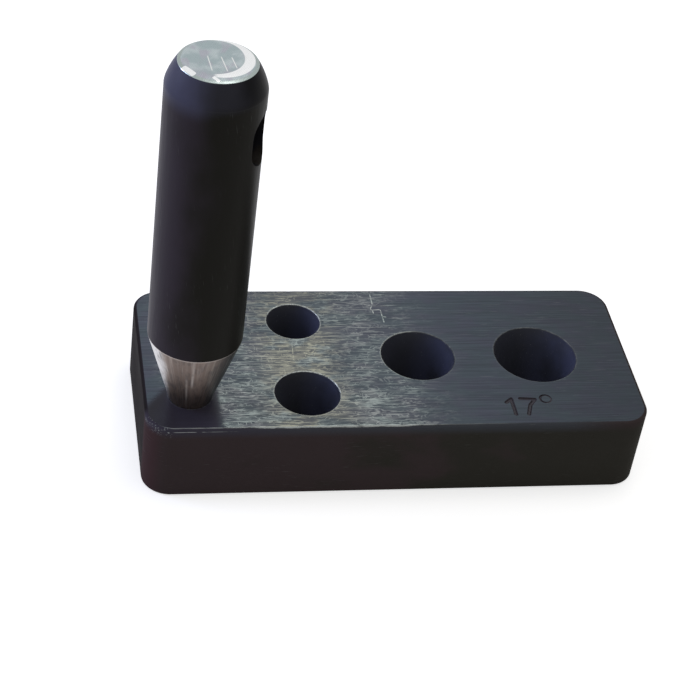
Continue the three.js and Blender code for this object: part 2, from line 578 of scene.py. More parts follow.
def sideSteel(look):
    mat, skin, place = steel("blackenedSide", look)
    x, y, z = axes(place)
    cloud = marks(place, **look["cloud"])
    rightward = softStep(x, *look["oliveAlong"]) + cloud
    tone = mixed(softStep(rightward, *look["oliveFrom"]), look["brown"], look["olive"])
    tone = mixed(softStep(x, *look["russetLeft"], 1, 0), tone, look["russet"])
    high = softStep(z, *(blockTop - fade for fade in look["rimFade"]))
    rim = mixed(softStep(x, *look["rimSlate"]), look["violet"], look["slate"])
    rim = mixed(softStep(x, *look["rimBrown"]), rim, look["brown"])
    tone = mixed(high * look["rimShare"], tone, rim)
    shadow = softStep(x, *look["shadowLeft"], 1, 0) * softStep(y, *look["shadowFront"])
    tone = mixed(shadow, tone, look["shadow"])
    grain = marks(place, **look["grain"])
    pits = patchy(place, **look["pits"])
    scuff = patchy(place, **look["scuffs"]) * softStep(cloud, *look["scuffPatches"])

    drop = (blockTop - look["lineDrop"]) - z
    isFront = softStep(y, blockLow.y + 1 * mm, blockLow.y + 2 * mm, 1, 0)
    worn = edgeWear(place, drop * look["lineNarrower"]) * isFront * look["lineBright"]
    low = abs(drop - block["topRound"] * look["lowDrop"])
    low = softStep(low, 0, look["lowWidth"], 1, 0) * isFront * between(x, *look["lowAlong"])
    worn = larger(worn, low * patchy(place, **look["lowBreaks"]) * look["lowBright"])
    specks = patchy(place, **look["specks"]) * softStep(x + y, *look["cornerSum"], 1, 0)
    worn = larger(worn, specks * high * look["speckBright"])
    worn = larger(worn, scuff * look["scuffBright"])

    feed(skin["Base Color"], mixed(worn, tone, bareSteel))
    feed(skin["Metallic"], softStep(worn, *metalFrom))
    feed(skin["Roughness"], softStep(cloud, *mostNoise, *look["rough"]))
    feed(skin["Normal"], bumped(grain + pits * look["pitDepth"], *look["relief"]))
    return mat


underLook = {
    "shine": 0.03,
    "rough": (0.34, 0.5),
    "relief": (0.4, 0.01 * mm),
    "cloud": dict(size=(16, 12), seed=21, detail=3),
    "grinding": dict(size=(18, 0.3), turn=1, seed=22, detail=4, rough=0.65),
    "rubs": dict(size=(6, 0.2), turn=24, seed=23, detail=2, warp=0.4, ramp=(0.58, 0.7)),
    "rubPatches": (0.42, 0.62, 0.05, 0.4),
    "violetPatches": (0.35, 0.65),
}


def underSteel(look):
    # ground flat, blackened and rubbed by the bench
    mat, skin, place = steel("benchRubbedUnderside", look)
    cloud = marks(place, **look["cloud"])
    grinding = marks(place, **look["grinding"])
    worn = patchy(place, **look["rubs"]) * softStep(cloud, *look["rubPatches"])
    tone = mixed(softStep(cloud, *look["violetPatches"]), sideLook["brown"], sideLook["violet"])
    feed(skin["Base Color"], mixed(worn, tone, bareSteel))
    feed(skin["Metallic"], softStep(worn, *metalFrom))
    feed(skin["Roughness"], softStep(grinding, *mostNoise, *look["rough"]))
    feed(skin["Normal"], bumped(grinding, *look["relief"]))
    return mat


holeLook = {
    "shine": 0.35,
    "rough": (0.28, 0.42),
    "relief": (0.5, 0.01 * mm),
    "litNavy": (0.044, 0.049, 0.086, 1),
    "black": (0.025, 0.026, 0.031, 1),
    "rings": dict(size=(30, 30, 0.22), seed=31, detail=4, rough=0.65),
    "cloud": dict(size=(5, 5, 5), seed=32, detail=2),
    "glints": dict(size=(0.3, 0.3, 0.2), seed=33, detail=1, ramp=(0.74, 0.8, 0, 0.5)),
    # painted light: the walls that face left are painted a lit navy, as lit from the left, and the
    # others stay black
    "litFacing": (-0.7, 0.3, 1, 0.15),
    "litPatches": (0.3, 0.6, 0.55, 1),
}


def holeSteel(look):
    mat, skin, place = steel("reamedTaper", look)
    rings = marks(place, **look["rings"])
    cloud = marks(place, **look["cloud"])
    glint = patchy(place, **look["glints"])
    # painted light: a lit navy on the walls that face left, black on the others
    facing = Field(place.tree, put(place.tree, "ShaderNodeTexCoord").outputs["Normal"])
    litWalls = softStep(axes(facing)[0], *look["litFacing"])
    litWalls = litWalls * softStep(cloud, *look["litPatches"])
    tone = mixed(litWalls, look["black"], look["litNavy"])
    feed(skin["Base Color"], mixed(glint, tone, bareSteel))
    feed(skin["Metallic"], glint)
    feed(skin["Roughness"], softStep(rings, *mostNoise, *look["rough"]))
    feed(skin["Normal"], bumped(rings, *look["relief"]))
    return mat


rimLook = {
    "shine": 0.25,
    "evenRough": 0.5,
    "relief": (0.5, 0.02 * mm),
    "black": (0.035, 0.038, 0.045, 1),
    "runs": dict(size=(2.4, 2.4, 2), seed=41, detail=3, rough=0.6),
    "nicks": dict(size=(0.35, 0.35, 0.35), seed=42, detail=2),
    "rubbedAlong": (span(-34, -28), span(-4, 12)),
    "rubbedBright": 0.5,
    "runRamp": (0.42, 0.62, 0),
    "nickBright": (0.3, 0.6, 0.5, 1.25),
    "metalFrom": (0, 0.4, 0.1, 1),
    "runBright": (-5 * mm, 12 * mm, 0.3, 0.12),
    "leftEnd": span(-34, -30),
}


def rimSteel(look):
    # narrow break of each mouth, rubbed bright in places
    mat, skin, place = steel("rubbedMouth", look)
    x = axes(place)[0]
    runs = marks(place, **look["runs"])
    nicks = marks(place, **look["nicks"])
    zone = between(x, *look["rubbedAlong"])
    amount = softStep(runs, *look["runRamp"], softStep(x, *look["runBright"]))
    amount = amount + zone * look["rubbedBright"]
    worn = amount * softStep(nicks, *look["nickBright"]) * softStep(x, *look["leftEnd"])
    feed(skin["Base Color"], mixed(worn, look["black"], bareSteel))
    feed(skin["Metallic"], softStep(worn, *look["metalFrom"]))
    feed(skin["Normal"], bumped(nicks, *look["relief"]))
    return mat


stampLook = {
    "shine": 0.25,
    "evenRough": 0.5,
    "relief": (0.6, 0.03 * mm),
    "torn": dict(size=(0.3, 0.3, 0.3), seed=51, detail=3, rough=0.6),
    "tornRamp": (0.62, 0.76, 0),
    # colour, and how bright the metal torn up in it is
    "wall": ((0.012, 0.007, 0.012, 1), 0.1),
    "floor": ((0.034, 0.030, 0.040, 1), 0.3),
}


def stampSteel(name, part):
    tone, bright = stampLook[part]
    mat, skin, place = steel(name, stampLook)
    torn = marks(place, **stampLook["torn"])
    worn = softStep(torn, *stampLook["tornRamp"], bright)
    feed(skin["Base Color"], mixed(worn, tone, bareSteel))
    feed(skin["Metallic"], worn)
    feed(skin["Normal"], bumped(torn, *stampLook["relief"]))
    return mat


# Block

block = {
    "cornerRadius": 5.5 * mm,
    "topRound": 0.6 * mm,  # rounding where the sides meet the top
    "bottomRound": 0.4 * mm,
    "cornerSteps": 16,
    "edgeStep": 0.4 * mm,  # spacing of the points along the straight sides
    "roundSteps": 6,
    "bottomSteps": 3,
    "edgeWander": 0.025 * mm,  # how far the worn edge strays from its true line
    "wanders": [(900, 1), (2600, 0.6)],  # waves a metre and share of that
    "dentSeed": 17,
    "dentDepth": 0.07 * mm,
    "dentWidth": 0.6 * mm,
    # how many, and how large as shares
    "frontDents": (7, 0.4, 1),
    "otherDents": (5, 0.25, 0.5),
    "smoothBelow": 38,  # degrees between faces that shade as one
}

holes = {
    "smallestMouth": 7 * mm,
    "mouthStep": 2 * mm,
    "taper": math.radians(17),
    "mouthBreak": 0.14 * mm,
    "breakShares": (0.3, 0.65),  # points on the rounding of a mouth
    "pilot": 3 * mm,
    "steps": 128,
    # along from the left end and across from the middle line, smallest hole first
    "places": [(0.09, 0.26), (0.09, -0.26), (0.32, 0.26), (0.32, -0.26), (0.56, 0), (0.805, 0)],
    "seat": 1,  # the hole that the punch stands in
    "seatGap": 0.03 * mm,  # what is left between the punch's cone and the wall it bears on
    "seatBreak": 0.06 * mm,
}

mark = {
    "depth": 0.26 * mm,
    "topWidth": 0.84 * mm,
    "floorWidth": 0.42 * mm,
    "over": 0.25 * mm,
    "endSteps": 8,
    # strokes of the number, struck by hand in front of the widest hole
    "strokes": [
        [(21.3, -14.6), (22.5, -13.55)],
        [(22.5, -13.55), (22.55, -18.15)],
        [(24.35, -13.5), (27.35, -13.75)],
        [(27.35, -13.75), (26.05, -15.4), (25.15, -18.15)],
    ],
    "ringCentre": (29.55, -13.7),
    "ringRadius": 1.12,
    "ringTopWidth": 0.52 * mm,
    "ringFloorWidth": 0.26 * mm,
    # the ring was struck deeper at its left
    "ringTilt": 0.1 * mm,
    "ringDeepest": math.radians(150),
    "ringSteps": 48,
}

blockFinish = {"side": 0, "top": 1, "under": 2}


def blockOutline(inset):
    # plan of the block as evenly spaced points with their outward direction
    halfX = (blockHigh.x - blockLow.x) / 2 - block["cornerRadius"]
    halfY = (blockHigh.y - blockLow.y) / 2 - block["cornerRadius"]
    middle = (blockHigh + blockLow) / 2
    radius = block["cornerRadius"] - inset
    points = []
    for sx, sy, start in ((1, -1, -90), (1, 1, 0), (-1, 1, 90), (-1, -1, 180)):
        centre = Vector((middle.x + sx * halfX, middle.y + sy * halfY, 0))
        for i in range(block["cornerSteps"] + 1):
            a = math.radians(start + 90 * i / block["cornerSteps"])
            out = Vector((math.cos(a), math.sin(a), 0))
            points.append((centre + out * radius, out))
        side = halfY if sx != sy else halfX
        onward = Vector((-out.y, out.x, 0))
        count = int(2 * side / block["edgeStep"])
        last = points[-1][0]
        for i in range(1, count):
            points.append((last + onward * (2 * side * i / count), out))
    return points


def edgeDent(point, dents):
    # depth of the small knocks in the worn edge at this point
    depth = 0
    for highlightSpot, size in dents:
        gap = (point - highlightSpot).length / (block["dentWidth"] * size)
        if gap < 1:
            depth += block["dentDepth"] * size * (1 - gap * gap) ** 2
    return depth


def makeDents(outline):
    rng = random.Random(block["dentSeed"])
    frontPoints = [p for p, out in outline if out.y < -0.7]
    otherPoints = [p for p, out in outline if out.y > -0.7]
    dents = []
    for name, points in (("frontDents", frontPoints), ("otherDents", otherPoints)):
        count, least, most = block[name]
        dents += [(rng.choice(points), rng.uniform(least, most)) for _ in range(count)]
    return dents


def makeBlock():
    mats = [sideSteel(sideLook), topSteel(topLook), underSteel(underLook)]
    outline = blockOutline(0)
    dents = makeDents(outline)
    rings = []
    for i in range(block["bottomSteps"] + 1):
        a = math.pi / 2 * i / block["bottomSteps"]
        inset = block["bottomRound"] * (1 - math.sin(a))
        height = blockLow.z + block["bottomRound"] * (1 - math.cos(a))
        rings.append([p + Vector((0, 0, height)) for p, out in blockOutline(inset)])
    for i in range(block["roundSteps"] + 1):
        share = i / block["roundSteps"]
        a = math.pi / 2 * share
        inset = block["topRound"] * (1 - math.cos(a))
        height = blockTop - block["topRound"] * (1 - math.sin(a))
        ring = []
        for (p, out), (edge, _) in zip(blockOutline(inset), outline):
            wear = 0
            for waves, part in block["wanders"]:
                wear += block["edgeWander"] * part * (0.5 + 0.5 * wobble.noise(edge * waves))
            wear = (wear + edgeDent(edge, dents)) * math.sin(a)
            ring.append(p - out * wear + Vector((0, 0, height - wear * math.sin(a) * (1 - share))))
        rings.append(ring)
    bands = [blockFinish["under"]] + [blockFinish["side"]] * (len(rings) - 1) + [blockFinish["top"]]
    obj = loft("blockBody", rings, bands, mats)
    print("block lofted")
    holeMats = [holeSteel(holeLook), rimSteel(rimLook)]
    for i, (place, mouth) in enumerate(holeList()):
        lip = holes["seatBreak"] if i == holes["seat"] else holes["mouthBreak"]
        cut(obj, lathe("holeCutter", holeProfile(mouth, lip), holes["steps"], holeMats, place))
    print("holes cut")
    stampMats = [stampSteel("stampWall", "wall"), stampSteel("stampFloor", "floor")]
    for stroke in mark["strokes"]:
        for start, end in zip(stroke, stroke[1:]):
            cut(obj, strokeCutter(start, end, stampMats))
    cut(obj, ringCutter(stampMats))
    print("number struck")
    tidyMesh(obj)
    return obj


def holeList():
    # middle and mouth radius of each hole
    found = []
    for i, (share, across) in enumerate(holes["places"]):
        x = blockLow.x + (blockHigh.x - blockLow.x) * share
        y = (blockLow.y + blockHigh.y) / 2 + (blockHigh.y - blockLow.y) * across
        mouth = (holes["smallestMouth"] + i * holes["mouthStep"]) / 2
        found.append(((x, y), seatMouth() if i == holes["seat"] else mouth))
    return found


def seatMouth():
    # the punch's cone at the height of the block's top, and the little that it stands off the wall
    rise = blockTop - punchLow.z
    return punch["tipDiameter"] / 2 + rise * math.tan(holes["taper"]) + holes["seatGap"]


def holeProfile(mouth, lip):
    # finish 0 is the wall and 1 the broken mouth
    slope = math.tan(holes["taper"])
    pilot = holes["pilot"] / 2
    pilotTop = blockTop - (mouth - pilot) / slope
    if pilotTop > blockLow.z:
        profile = [(pilot, blockLow.z - overrun, 0), (pilot, pilotTop, 0)]
    else:
        profile = [(mouth - (blockTop - blockLow.z + overrun) * slope, blockLow.z - overrun, 0)]
    profile.append((mouth - lip * slope, blockTop - lip, 1))
    for share in holes["breakShares"]:
        turn = share * math.pi / 2
        profile.append((mouth + lip * (1 - math.cos(turn)), blockTop - lip * (1 - math.sin(turn)), 1))
    return profile + [(mouth + lip, blockTop, 1), (mouth + lip, blockTop + overrun, 1)]


def strokeCutter(start, end, mats):
    # groove with sloping walls, a narrow floor and round ends
    a, b = (Vector((x * mm, y * mm, 0)) for x, y in (start, end))
    heading = math.atan2(b.y - a.y, b.x - a.x)
    slant = (mark["topWidth"] - mark["floorWidth"]) / 2 / mark["depth"]
    rings = []
    for height in (-mark["depth"], mark["over"]):
        half = mark["floorWidth"] / 2 + slant * (height + mark["depth"])
        ring = []
        for middle, first in ((b, -90), (a, 90)):
            for t in halfTurn(first, mark["endSteps"]):
                x, y = math.cos(heading + t) * half, math.sin(heading + t) * half
                ring.append(middle + Vector((x, y, blockTop + height)))
        rings.append(ring)
    return loft("strokeCutter", rings, [1, 0, 0], mats)


def ringCutter(mats):
    slant = (mark["ringTopWidth"] - mark["ringFloorWidth"]) / 2 / mark["depth"]
    outer = mark["ringTopWidth"] / 2 + slant * mark["over"]
    inner = mark["ringFloorWidth"] / 2
    low, high = -mark["depth"], mark["over"]
    section = [(-inner, low), (inner, low), (outer, high), (-outer, high)]
    bm = bmesh.new()
    loops = []
    for i in range(mark["ringSteps"]):
        a = 2 * math.pi * i / mark["ringSteps"]
        tilt = mark["ringTilt"] * (1 - math.cos(a - mark["ringDeepest"]))
        loop = []
        for dx, dz in section:
            radius = mark["ringRadius"] * mm + dx
            x = mark["ringCentre"][0] * mm + radius * math.cos(a)
            y = mark["ringCentre"][1] * mm + radius * math.sin(a)
            loop.append(bm.verts.new((x, y, blockTop + dz + tilt)))
        loops.append(loop)
    for i, here in enumerate(loops):
        there = loops[(i + 1) % len(loops)]
        for k in range(4):
            n = (k + 1) % 4
            face = bm.faces.new((here[k], there[k], there[n], here[n]))
            face.material_index = 1 if k == 0 else 0
    bmesh.ops.recalc_face_normals(bm, faces=bm.faces)
    return meshObject("ringCutter", bm, mats)


# Punch

punch = {
    "tipDiameter": 3 * mm,
    "tipBreak": 0.25 * mm,
    "bevelWidth": 2 * mm,
    "bevelHeight": 4.4 * mm,
    "bevelCrown": 0.2 * mm,
    "bevelSteps": 12,
    "rimHeight": 0.4 * mm,
    # shoulder between cone and shank: how far in below it and at it, and how far up it is full
    "shoulder": (0.06 * mm, 0.015 * mm, 0.12 * mm),
    "bevelLip": 0.15 * mm,
    "bandShares": (0.25, 0.5, 0.75),
    # face of the head, in from its edge and down from its top: a steep ring, then a flatter one
    "faceSteps": [
        (0, 0.4), (0.05, 0.345), (0.14, 0.315), (0.54, 0.172), (0.62, 0.155), (1.30, 0.008), (1.38, 0),
    ],
    # the flat was ground off centre, which leaves the inner ring wider on one side
    "flatDepth": 0.05 * mm,
    "flatShift": Vector((-0.55, 0.45, 0)) * mm,
    "slotWidth": 7.5 * mm,
    "slotHeight": 10.5 * mm,
    "slotDepth": 10 * mm,
    "slotDrop": 13.5 * mm,
    "slotTurn": -22,  # degrees
    "slotCorner": 0.4 * mm,  # rounding between the slot's wall and its floor
    "slotEndSteps": 24,
    "steps": 160,
    "smoothBelow": 24,  # degrees between faces that shade as one
}

punchFinish = {"shank": 0, "cone": 1, "face": 2}

shankLook = {
    "shine": 0.05,
    "rough": (0.36, 0.46),
    "relief": (0.3, 0.006 * mm),
    # painted light: violet on the lit left of the shank, olive on its shaded right; on the bevel a lit
    # blue, then slate, then a shaded dusk to the right
    "violet": (0.031, 0.0245, 0.034, 1),
    "olive": (0.0112, 0.0104, 0.0082, 1),
    "litBlue": (0.062, 0.063, 0.104, 1),
    "slate": (0.027, 0.027, 0.035, 1),
    "shadedDusk": (0.0070, 0.0070, 0.0085, 1),
    "cloud": dict(size=(9, 9, 16), seed=61, detail=3),
    "turning": dict(size=(40, 40, 0.2), seed=62, detail=4, rough=0.65),
    "drawn": dict(size=(0.3, 9), seed=63, detail=3, rough=0.6),
    "scuffs": dict(size=(0.16, 3), turn=9, seed=64, detail=1, warp=0.4, ramp=(0.68, 0.78)),
    "scuffPatches": (0.45, 0.65, 0.02, 0.2),
    "scuffBright": 0.4,
    # painted light and shade: where the tints change from lit to shaded, from the axis to the right,
    # and how far the clouds push that about
    "wander": 12 * mm,
    "oliveFrom": (-8 * mm, 0),
    "shadedDuskFrom": span(2, 7),
    # the bevel's painted light and shade runs down onto the shank, further on the left
    "tintAcross": span(-6, 3),
    "tintDown": span(3.2, 1.2),
    "tintUp": 1.2 * mm,
    "lipWidth": 0.14 * mm,
    "lipBright": 0.012,
}


def aroundPunch(place):
    # unrolled surface of the punch: round it and up it, in metres
    x, y, z = axes(vectorMath("SUBTRACT", place, (punchX, punchY, 0)))
    angle = calc("ARCTAN2", x, y * -1)
    flat = put(place.tree, "ShaderNodeCombineXYZ")
    feed(flat.inputs[0], angle * punchRadius)
    feed(flat.inputs[1], z)
    return Field(place.tree, flat.outputs[0]), z


def fromAxis(places):
    # places along the block from the punch's axis
    return [punchX + value for value in places]


def shankSteel(look):
    mat, skin, place = steel("blackenedShank", look)
    flat, z = aroundPunch(place)
    bevelStart = punchHigh.z - punch["rimHeight"] - punch["bevelHeight"]
    cloud = marks(place, **look["cloud"])
    turning = marks(place, **look["turning"])
    drawn = marks(flat, **look["drawn"])
    scuff = patchy(flat, **look["scuffs"]) * softStep(cloud, *look["scuffPatches"])
    # painted light and shade: lighter on the left of the shank and bevel, darker to the right
    spread = axes(place)[0] + (cloud - 0.5) * look["wander"]
    rightward = softStep(spread, *fromAxis(look["oliveFrom"]))
    tone = mixed(rightward, look["violet"], look["olive"])
    bevelTone = mixed(rightward, look["litBlue"], look["slate"])
    bevelTone = mixed(softStep(spread, *fromAxis(look["shadedDuskFrom"])), bevelTone, look["shadedDusk"])
    fades = [bevelStart - down for down in look["tintDown"]]
    fadeFrom = softStep(spread, *fromAxis(look["tintAcross"]), *fades)
    onBevel = softStep(z, fadeFrom, bevelStart + look["tintUp"])
    tone = mixed(onBevel, tone, bevelTone)
    lip = softStep(abs(z - bevelStart), 0, look["lipWidth"], look["lipBright"], 0) * rightward
    worn = larger(scuff * (1 - onBevel) * look["scuffBright"], lip)
    feed(skin["Base Color"], mixed(worn, tone, bareSteel))
    feed(skin["Metallic"], worn)
    feed(skin["Roughness"], softStep(drawn, *mostNoise, *look["rough"]))
    feed(skin["Normal"], bumped(turning + drawn * 0.5, *look["relief"]))
    return mat


coneLook = {
    "metal": 1,
    "rough": (0.5, 0.4),
    "relief": (0.4, 0.01 * mm),
    "silver": (0.66, 0.65, 0.66, 1),  # painted light: silver on the lit left, a painted brown reflection, then painted shade to the right
    "reflectedBrown": (0.188, 0.146, 0.126, 1),
    "stainAndShadeDark": (0.070, 0.066, 0.068, 1),
    "pale": (0.50, 0.45, 0.42, 1),
    "black": (0.026, 0.024, 0.025, 1),
    # as shares of the punch's width at that height, from its middle
    "silverToWarm": (-0.93, -0.68),
    "warmToDark": (0.25, 0.82),
    "darkToBlack": (0.6, 0.9, 0, 0.85),
    "wander": 0.3,  # how far the clouds push these about
    "narrower": 0.13,  # how much narrower the painted lit side is at the block
    "narrowUpTo": 10 * mm,
    "fineStreaks": dict(size=(0.45, 9), seed=71, detail=3, rough=0.55),
    "cloud": dict(size=(3.5, 3.5, 3.5), seed=72, detail=3),
    "rings": dict(size=(40, 40, 0.14), seed=73, detail=3, rough=0.6),
    "stains": dict(size=(1.1, 2.4), seed=74, detail=3, rough=0.6, ramp=(0.48, 0.66, 0, 0.45)),
    # two long painted highlight streaks: place round the punch from its front, heights it fades
    # between, strength at each
    "highlightStreaks": [(-1.0, 6.5, 8.5, 0.1, 1), (-2.4, 7.5, 10.5, 0.9, 0.2)],
    "streakWidth": 0.5 * mm,
    "streakBright": 0.8,
    "streakPatches": (0.35, 0.6, 0.4, 1),
    "finePale": (0.5, 0.72, 0, 0.22),
    "fineRough": (0.35, 0.65),
    "shoulder": span(0.35, 0.05),  # painted highlight: pale line just below the cone's top
    "shoulderBright": 0.6,
}


def coneSteel(look):
    # bare turned cone with painted light: silver on the left, a painted brown reflection and dark to
    # black shade to the right, two painted highlight streaks down its length and a painted highlight
    # below its top
    mat, skin, place = steel("bareCone", look)
    flat, z = aroundPunch(place)
    fineStreaks = marks(flat, **look["fineStreaks"])
    cloud = marks(place, **look["cloud"])
    rings = marks(place, **look["rings"])
    mouthRise = blockTop - punchLow.z
    rise = z - punchLow.z
    around = axes(flat)[0]
    above = rise - mouthRise
    paintedStreak = 0.0
    for offset, low, high, toLow, toHigh in look["highlightStreaks"]:
        part = softStep(abs(around - offset * mm), 0, look["streakWidth"], 1, 0)
        part = part * softStep(cloud, *look["streakPatches"])
        paintedStreak = larger(paintedStreak, part * softStep(above, low * mm, high * mm, toLow, toHigh))
    slope = math.tan(holes["taper"])
    radius = calc("MULTIPLY_ADD", rise, slope, punch["tipDiameter"] / 2)
    spread = (axes(place)[0] - punchX) / radius
    spread = spread + (cloud - 0.5) * look["wander"]
    narrow = softStep(rise, mouthRise, mouthRise + look["narrowUpTo"], look["narrower"], 0)
    # painted light and shade: silver, brown reflection, dark and black from the lit left to the shaded
    # right; the stains are the cone's own
    tone = mixed(softStep(spread + narrow, *look["silverToWarm"]), look["silver"], look["reflectedBrown"])
    tone = mixed(patchy(flat, **look["stains"]), tone, look["stainAndShadeDark"])
    tone = mixed(softStep(spread, *look["warmToDark"]), tone, look["stainAndShadeDark"])
    tone = mixed(softStep(fineStreaks, *look["finePale"]), tone, look["pale"])
    tone = mixed(paintedStreak * look["streakBright"], tone, look["pale"])
    tone = mixed(softStep(spread, *look["darkToBlack"]), tone, look["black"])
    coneTop = (punchRadius - punch["tipDiameter"] / 2) / slope
    shoulder = [coneTop - down for down in look["shoulder"]]
    tone = mixed(softStep(rise, *shoulder, 0, look["shoulderBright"]), tone, look["pale"])
    feed(skin["Base Color"], tone)
    feed(skin["Roughness"], softStep(fineStreaks, *look["fineRough"], *look["rough"]))
    feed(skin["Normal"], bumped(rings * 0.5 + fineStreaks, *look["relief"]))
    return mat


faceLook = {
    "metal": 1,
    "rough": (0.2, 0.34),
    "relief": (0.35, 0.01 * mm),
    "silver": (0.53, 0.60, 0.62, 1),
    "grey": (0.40, 0.48, 0.50, 1),
    "rose": (0.46, 0.45, 0.52, 1),
    "highlightWhite": (0.98, 0.99, 1.0, 1),
    "rimGrey": (0.40, 0.46, 0.45, 1),
    "cloud": dict(size=(3, 3, 3), seed=81, detail=3),
    "greyPatches": (0.38, 0.62),
    "blots": dict(size=(2, 4, 2), seed=82, detail=2),
    "rosePatches": (0.5, 0.68, 0, 0.7),
    "grain": dict(size=(4, 0.12), turn=66, seed=83, detail=3, rough=0.6),
    "dings": dict(size=(0.8, 0.8, 0.8), seed=84, detail=2),
    "dingDepth": 2.0,
    # painted highlight: the white crescent lies outside one circle and inside another, from this place
    # along
    # the block: middle from the punch's axis, radius
    "inner": (-1.0, 1.0, 5.58),
    "outer": (0.2, 0.6, 6.15),
    "crescentFrom": span(-1.5, -0.5),
    "crescentEdge": 0.08 * mm,
    # two more painted highlight spots, a patch and a glint: ends, width
    "highlightSpots": [
        ((-6.35, -2.1), (-4.4, -4.75), 0.78 * mm),
        ((-1.5, -5.3), (-0.4, -6.6), 0.5 * mm),
    ],
    "spotEdge": (0.2, 0.4),
    "dull": (-3.6, -4.6),  # middle of the dull corner of the flat, from the punch's axis
    "dullFade": (1 * mm, 2.4 * mm, 0.8, 0),
    "dullPatches": (0.35, 0.5, 0.4, 1),
    "edge": span(6.36, 6.42),  # where the outer ring begins
    "scratch": (0.92, 0.93, 0.92, 1),
    # four short scratches across the face, from the punch's axis
    "scratches": [
        ((-1.8, 1.4), (-1.4, -3.7)),
        ((0.5, 1.2), (1.2, -3.9)),
        ((2.3, 1.0), (2.9, -2.8)),
        ((4.7, 1.5), (4.8, 0.5)),
    ],
    "scratchWidth": 0.16 * mm,
    "scratchDepth": 2.0,
}


def onFace(point):
    # a point in millimetres from the punch's axis, as millimetres on the piece
    return (point[0] + punchX / mm, point[1] + punchY / mm)


def faceGap(place, x=0, y=0):
    # distance from a point on the strike face, given in millimetres from the punch's axis
    return distanceFrom(place, (punchX + x * mm, punchY + y * mm, punchHigh.z))


def faceSteel(look):
    mat, skin, place = steel("struckFace", look)
    cloud = marks(place, **look["cloud"])
    blots = marks(place, **look["blots"])
    grain = marks(place, **look["grain"])
    dings = marks(place, **look["dings"])
    tone = mixed(softStep(cloud, *look["greyPatches"]), look["silver"], look["grey"])
    tone = mixed(softStep(blots, *look["rosePatches"]), tone, look["rose"])
    line = 0.0
    for start, end in look["scratches"]:
        line = larger(line, scoreLine(place, onFace(start), onFace(end), look["scratchWidth"]))
    # painted highlight: the white crescent and spots on the strike face
    paintedHighlight = softStep(axes(place)[0], *fromAxis(look["crescentFrom"]))
    for name, inside in (("inner", 0), ("outer", 1)):
        *middle, radius = look[name]
        ends = (radius * mm - look["crescentEdge"], radius * mm + look["crescentEdge"])
        paintedHighlight = paintedHighlight * softStep(faceGap(place, *middle), *ends, inside, 1 - inside)
    for start, end, width in look["highlightSpots"]:
        highlightSpot = scoreLine(place, onFace(start), onFace(end), width)
        paintedHighlight = larger(paintedHighlight, softStep(highlightSpot, *look["spotEdge"]))
    dull = softStep(faceGap(place, *look["dull"]), *look["dullFade"])
    tone = mixed(dull * softStep(blots, *look["dullPatches"]), tone, look["rose"])
    tone = mixed(softStep(faceGap(place), *look["edge"]), tone, look["rimGrey"])
    tone = mixed(paintedHighlight, tone, look["highlightWhite"])
    feed(skin["Base Color"], mixed(line, tone, look["scratch"]))
    feed(skin["Roughness"], softStep(grain, *mostNoise, *look["rough"]))
    relief = grain + dings * look["dingDepth"] - line * look["scratchDepth"]
    feed(skin["Normal"], bumped(relief, *look["relief"]))
    return mat


slotLook = {
    "shine": 0.12,
    "rough": (0.38, 0.52),
    "relief": (0.5, 0.015 * mm),
    "black": (0.005, 0.005, 0.007, 1),
    "brown": (0.012, 0.010, 0.008, 1),
    "cloud": dict(size=(3, 3, 3), seed=91, detail=3, ramp=(0.4, 0.62)),
    "milling": dict(size=(0.25, 30, 30), turn=punch["slotTurn"], seed=92, detail=3, rough=0.6),
}


def slotSteel(look):
    # inside of the slot in the head
    mat, skin, place = steel("milledSlot", look)
    cloud = patchy(place, **look["cloud"])
    milling = marks(place, **look["milling"])
    feed(skin["Base Color"], mixed(cloud, look["black"], look["brown"]))
    feed(skin["Roughness"], softStep(milling, *mostNoise, *look["rough"]))
    feed(skin["Normal"], bumped(milling, *look["relief"]))
    return mat


def punchProfile():
    tip = punch["tipDiameter"] / 2
    slope = math.tan(holes["taper"])
    coneTop = punchLow.z + (punchRadius - tip) / slope
    width, height = punch["bevelWidth"], punch["bevelHeight"]
    bevelStart = punchHigh.z - punch["rimHeight"] - height
    length = math.hypot(width, height)
    cone, shank, face = punchFinish["cone"], punchFinish["shank"], punchFinish["face"]
    ease = punch["tipBreak"]
    below, at, full = punch["shoulder"]
    profile = [
        (tip - ease, punchLow.z, cone),
        (tip - ease * 0.3, punchLow.z + ease * 0.3, cone),
        (tip + ease * slope, punchLow.z + ease, cone),
    ]
    for share in punch["bandShares"]:
        up = (coneTop - punchLow.z) * share
        profile.append((tip + (punchRadius - tip) * share, punchLow.z + up, cone))
    profile += [
        (punchRadius - below, coneTop - below / slope, cone),
        (punchRadius - at, coneTop, shank),
        (punchRadius, coneTop + full, shank),
    ]
    for share in punch["bandShares"]:
        profile.append((punchRadius, coneTop + (bevelStart - coneTop) * share, shank))
    profile.append((punchRadius, bevelStart - punch["bevelLip"], shank))
    for i in range(1, punch["bevelSteps"]):
        share = i / punch["bevelSteps"]
        swell = 4 * punch["bevelCrown"] * share * (1 - share)
        across = punchRadius - width * share + swell * height / length
        profile.append((across, bevelStart + height * share + swell * width / length, shank))
    for inward, down in punch["faceSteps"]:
        profile.append((punchRadius - width - inward * mm, punchHigh.z - down * mm, face))
    return profile


